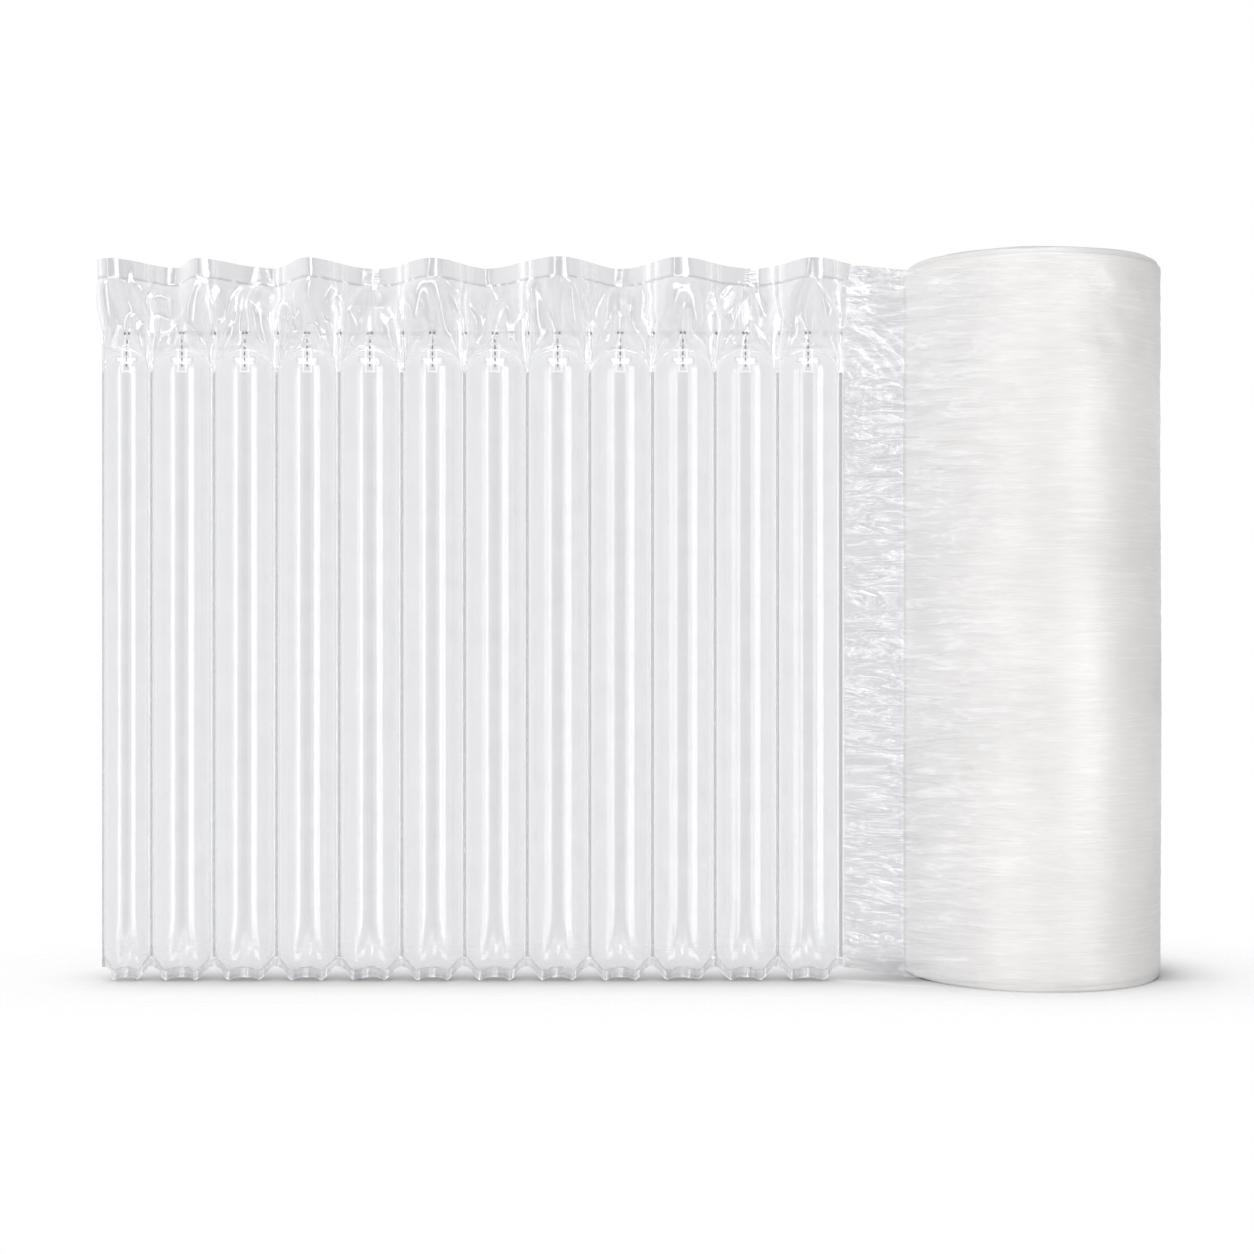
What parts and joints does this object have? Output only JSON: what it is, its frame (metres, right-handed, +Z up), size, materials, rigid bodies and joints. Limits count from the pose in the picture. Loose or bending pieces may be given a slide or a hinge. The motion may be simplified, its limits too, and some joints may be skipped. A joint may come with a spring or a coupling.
{
  "type": "air column roll",
  "caption": "Standing roll of flat air column cushioning film on a paperboard core, its lead unwound and inflated as a row of upright air columns.",
  "frame": {"origin": "on the axis of the core's bore, at its lower end, on the floor", "axes": "+Z up the core's bore, -X along the unwound row of columns, -Y the side where the film leaves the roll"},
  "size_m": [0.5917, 0.1443, 0.4],
  "materials": {
    "core_board": "plain spiral-wound paperboard",
    "wound_film": "many turns of clear film, milky where they lie together",
    "clear_film": "clear glossy co-extruded film",
    "valve_film": "thin clear film with heat-proof dark ink marks"
  },
  "bodies": {
    "root": {"core_tube": "core_board", "film_roll": "wound_film", "front_film": "clear_film", "back_film": "clear_film", "front_valve_film": "valve_film", "back_valve_film": "valve_film"}
  },
  "joints": []
}
